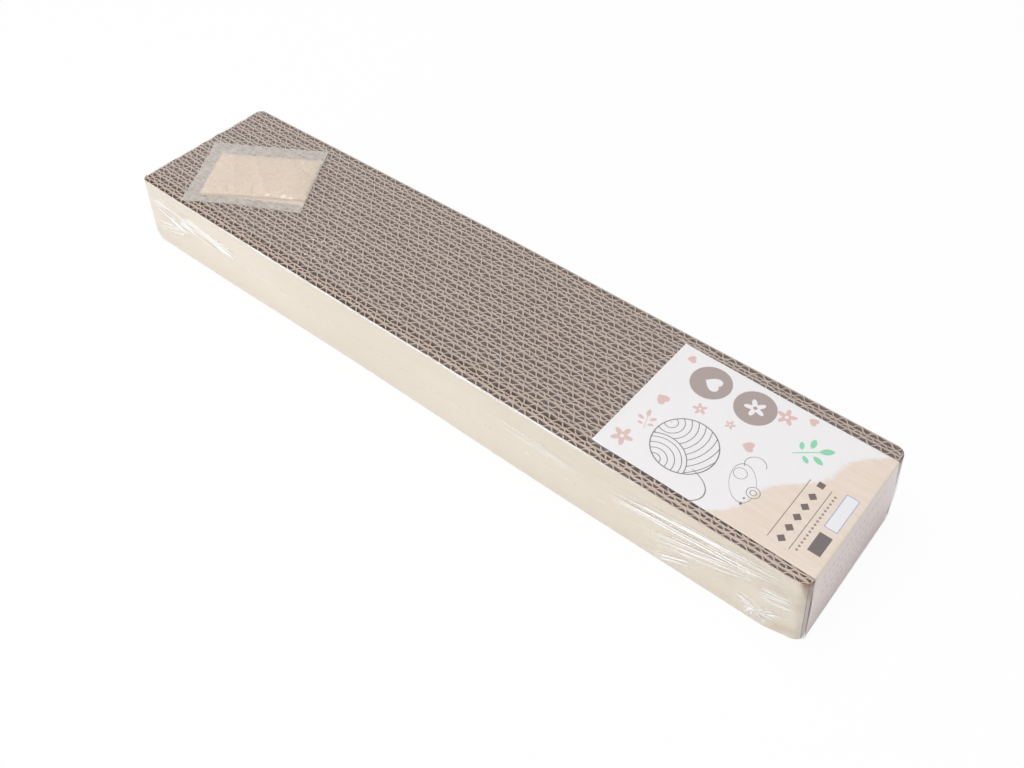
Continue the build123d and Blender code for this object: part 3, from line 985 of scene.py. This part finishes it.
def filmGrid():
    # loops round the pad's section, carried along it and closed in over each end
    f, s = filmSettings, padSettings
    loops, reachIn = f["ends"]
    reach = (s["right"] - s["left"]) / 2 + f["gap"] - f["cornerRadius"]
    arc = np.linspace(0, np.pi / 2, 9)[1:]
    x, draw = roundedLine(reach, int(2 * reach / f["stepX"]), f["cornerRadius"], arc)
    inset = np.linspace(0, 1, loops + 1)[1:] ** 0.9 * reachIn
    cap = np.concatenate([inset[::-1], 0 * x, inset])
    x, draw = (np.pad(k, loops, mode="edge") for k in (x, draw))
    # rounded section of half width y from low to high: front side down, bottom, back side up and top, each
    # with the corner after it
    y = s["half"] + f["gap"] + coverSettings["thickness"] - draw - cap
    low, high = s["base"] - f["under"] + cap, s["top"] + f["gap"] - cap
    e = np.minimum(f["edgeRadius"], (high - low) / 2 - 0.01)[:, None]
    y, low, high = y[:, None] - e, low[:, None] + e, high[:, None] - e
    corners = []
    for k, (side, level) in enumerate(((-y, low), (y, low), (y, high), (-y, high))):
        turn = np.linspace(0, np.pi / 2, 5) + np.pi * (1 + k / 2)
        corners.append((side + e * np.cos(turn), level + e * np.sin(turn)))
    parts = []
    for k, side in enumerate(("front", "bottom", "back", "top")):
        t = np.linspace(0, 1, f[side] + 2)[1:-1]
        parts.append([p[:, -1:] * (1 - t) + q[:, :1] * t for p, q in zip(corners[k - 1], corners[k])])
        parts.append(corners[k])
    y, z = (np.concatenate(rows, 1) for rows in zip(*parts))
    x = np.repeat((x + (s["right"] + s["left"]) / 2)[:, None], y.shape[1], 1)
    return x, y, z, cap


def addFilm(material):
    f, s = filmSettings, padSettings
    x, y, z, cap = filmGrid()
    onSide = cap[:, None] == 0
    z = z + onSide * (topLevel(x, y) - s["top"] - f["gap"]) * smooth((z - s["top"] + 0.9) / 0.9)
    # the film stands off the card's folded end, and comes in to the boards beside it
    depth = s["top"] - z
    bulge = cardSettings["bulge"] * np.sin(np.pi * np.clip(depth / 44, 0, 1)) ** 2
    endOut = (f["cardGap"] + cardSettings["thickness"] + bulge) * smooth((x - s["right"] + 4) / 4)
    endOut = endOut * smooth((y + 48.5) / 4) * smooth((48.5 - y) / 8)
    # front side: fans of streaks at both ends, a puckered corner and the seam
    folds = tightFolds(x, z)
    px, pz, reach, rise = f["pucker"]
    far = np.hypot(x - px, z - pz)
    pucker = rise * np.exp(-((far / reach) ** 2)) * ridges(np.arctan2(z - pz, x - px) * 2.4 + 20, 0.24, 43)
    level, slope, at, rise = f["seam"]
    seamLine = z - level - slope * (x - at)
    seam = rise * np.exp(-((seamLine / 0.45) ** 2)) * (0.7 + 0.5 * waves(x, 0 * x, 25, 48))
    fine = f["fine"] * (1 + waves(x, z * 3, 30, 45))
    front, back = (onSide & (side * y > 0) & (depth > 0.6) & (z > 0.6) for side in (-1, 1))
    out = np.where(front, folds + pucker + seam + fine, 0) + np.where(back, tightFolds(-x, z) + seam + fine, 0)
    grid = padShape(np.stack([x, y, z], -1))
    grid[..., 1] += np.sign(y) * out * smooth(depth / 3) * smooth((z - 0.1) / 2.5)
    grid[..., 0] += endOut
    rows, columns = x.shape
    # each end closes on its last loop, as rows of quads between the loop's two halves
    points = grid.reshape(-1, 3)
    faces = [gridFaces(rows, columns, closed=True)]
    for row in (0, rows - 1):
        ring = row * columns + np.arange(columns)
        k = np.arange(columns // 2 - 1)
        strip = np.stack([ring[k], ring[k + 1], ring[columns - 2 - k], ring[columns - 1 - k]], -1)
        faces.append(strip if row == 0 else strip[:, ::-1])
    faces = outward(points, np.concatenate(faces))
    film = newPiece("clear_shrink_film", points, faces, material, 80)
    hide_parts("shrink_film")
    streak = streakPlace(x, z) * (front * smooth((s["top"] - z) / 1.5))[..., None]
    addAttribute(film, "streakPlace", streak.reshape(-1, 3), "FLOAT_VECTOR")
    # painted highlight along the film's upper front edge, weaker at the left end and fading out to the right
    rimHighlight = np.exp(-(((depth - 0.05) / 0.55) ** 2)) * (y < -s["half"] + 0.4) * onSide
    rimHighlight = rimHighlight * (0.65 + 0.35 * smooth((x + 190) / 60) - 0.75 * smooth((x - 95) / 70))
    addAttribute(film, "paintedRimHighlight", rimHighlight.ravel())
    slack = smooth((-y - s["half"] + 9) / 3) * smooth((z - s["top"] + 3) / 2) * onSide
    addAttribute(film, "slackEdge", slack.ravel())
    print("film points", len(points), "faces", len(faces))


def filmMaterial():
    # clear film: passes light straight through, mirrors more at a slant (Fresnel, both faces), and turns
    # white along tight folds, partly milky creases and partly painted glints, where lines of noise drawn out
    # along the fold come near 0.5; painted glints also in dashes along the seam and over the vents, and a
    # painted highlight along the front rim
    f = filmSettings
    material, tree, end, place = newMaterial("clearFilm")
    across, along, power = split(attribute(tree, "streakPlace", "Vector"))
    drawn = addNode(tree, "CombineXYZ", {0: across, 1: along * 0.028})
    crease = noise(drawn, 0.36, 2.5, None, 0.55)
    # painted glints: thin white lines where the fold noise nears 0.5, and broad white patches, along with the
    # milkiness of the creased film
    glintLines = ((crease - 0.5).calc("ABSOLUTE") * -16.0 + 1.0).clamped()
    glintPatches = (noise(drawn, 0.2, 2) * 6.0 - 2.9).clamped()
    milkyGlints = ((glintPatches * 0.38 + glintLines * 1.1) * power).clamped()
    normal = bump(noise(place, 45, 1.5, (0.4, 1, 1)) * 0.25 + crease * power * 1.4, 0.001)
    ratio = addNode(tree, "NewGeometry", out="Backfacing") * (1 / 1.5 - 1.5) + 1.5  # alike from both sides
    gleam = addNode(tree, "Fresnel", {"IOR": ratio, "Normal": normal})
    gleam = (gleam * (attribute(tree, "slackEdge") * -1.3 + 1.7)).calc("MINIMUM", 0.42)
    x, y, z = split(place)
    level, slope, at, _ = f["seam"]
    # the seal seam: a faint whitish line, with dashes of painted glint along it
    seam = (z - (x * slope + (level - slope * at) * mm)).calc("COMPARE", 0.0, 0.28 * mm) * (y < -0.04)
    glintDashes = (noise(place, 110, 2, (1, 0, 0)) * 7.0 - 3.6).clamped()
    seam = seam * (glintDashes * 0.7 + 0.08)
    # painted highlight: the white line along the front rim, broken up by noise
    rimHighlight = attribute(tree, "paintedRimHighlight") * (noise(place, 40, 3, (1, 0, 0)) * 1.6 + 0.1)
    # painted glints: white dots over the vent holes
    ventGlints = anyOf([distance(place, (vx * mm, vy * mm, 45.2 * mm)) < 0.55 * mm for vx, vy in f["ventGlints"]])
    # painted highlights and milkiness together, laid on as white diffuse: the vents, the folds, the seam and the
    # rim, never below the plain film's veil
    white = anyOf([ventGlints * 0.75, milkyGlints, seam, rimHighlight]).calc("MAXIMUM", f["veil"])
    clear = addNode(tree, "BsdfTransparent", {"Color": (0.985, 0.985, 0.985, 1)})
    mirror = addNode(tree, "BsdfGlossy", {"Color": (1, 1, 1, 1), "Roughness": 0.07, "Normal": normal})
    haze = addNode(tree, "BsdfDiffuse", {"Color": (0.98, 0.98, 0.98, 1)})
    skin = addNode(tree, "MixShader", {0: gleam, 1: clear, 2: mirror})
    cloudy = addNode(tree, "MixShader", {0: white.calc("MINIMUM", 0.92), 1: skin, 2: haze})
    show(end, cloudy)
    return material


addFilm(filmMaterial())
print("film made")


# floor, world and lamps
studioSettings = {
    "floorReach": 6.0,                   # metres from the middle to each side
    "floorColour": (0.95, 0.95, 0.95, 1), "floorGlow": 0.94,
    "worldLight": 0.42, "worldMirrored": 0.75,
    "lamps": (
        # name, place in mm, size in mm, watts
        ("overhead", (-150, -40, 1500), (1400, 1300), 13),
        ("frontWall", (-780, -1420, 400), (1900, 520), 13.5),
        ("rightWall", (1100, -900, 650), (900, 900), 1.2),
    ),
}


def seenRay(tree):
    # 1 for a ray from the camera, straight or through clear film
    camera, through = (addNode(tree, "LightPath", out=f"Is {kind} Ray") for kind in ("Camera", "Transmission"))
    return camera.calc("MAXIMUM", through)


def addStudio(s):
    mesh = bpy.data.meshes.new("floor")
    r = s["floorReach"]
    mesh.from_pydata([(-r, -r, 0), (r, -r, 0), (r, r, 0), (-r, r, 0)], [], [(0, 1, 2, 3)])
    floor = addObject("floor", mesh)
    material, tree, end, _ = newMaterial("paleFloor")
    plain = addNode(tree, "BsdfDiffuse", {"Color": s["floorColour"]})
    glow = addNode(tree, "Emission", {"Color": (1, 1, 1, 1), "Strength": 1.0})
    mixed = addNode(tree, "MixShader", {0: seenRay(tree) * s["floorGlow"], 1: plain, 2: glow})
    show(end, mixed)
    mesh.materials.append(material)
    world = bpy.data.worlds.new("studio")
    bpy.context.scene.world = world
    world.use_nodes = True
    tree = world.node_tree
    tree.nodes.clear()
    mirrored = addNode(tree, "LightPath", out="Is Glossy Ray")
    level = mirrored * (s["worldMirrored"] - s["worldLight"]) + s["worldLight"]
    level = level.calc("MAXIMUM", seenRay(tree))
    back = addNode(tree, "Background", {"Color": (1, 1, 1, 1), "Strength": level})
    show(tree.nodes.new("ShaderNodeOutputWorld"), back)
    for name, place, size, watts in s["lamps"]:
        data = bpy.data.lights.new(name, "AREA")
        data.shape, data.size, data.size_y, data.energy = "RECTANGLE", size[0] * mm, size[1] * mm, watts
        lamp = addObject(name, data)
        lamp.location = Vector(place) * mm
        lamp.rotation_euler = (-lamp.location).to_track_quat("-Z", "Y").to_euler()
    bpy.context.scene.view_settings.view_transform = "Standard"


addStudio(studioSettings)
print("studio lit")
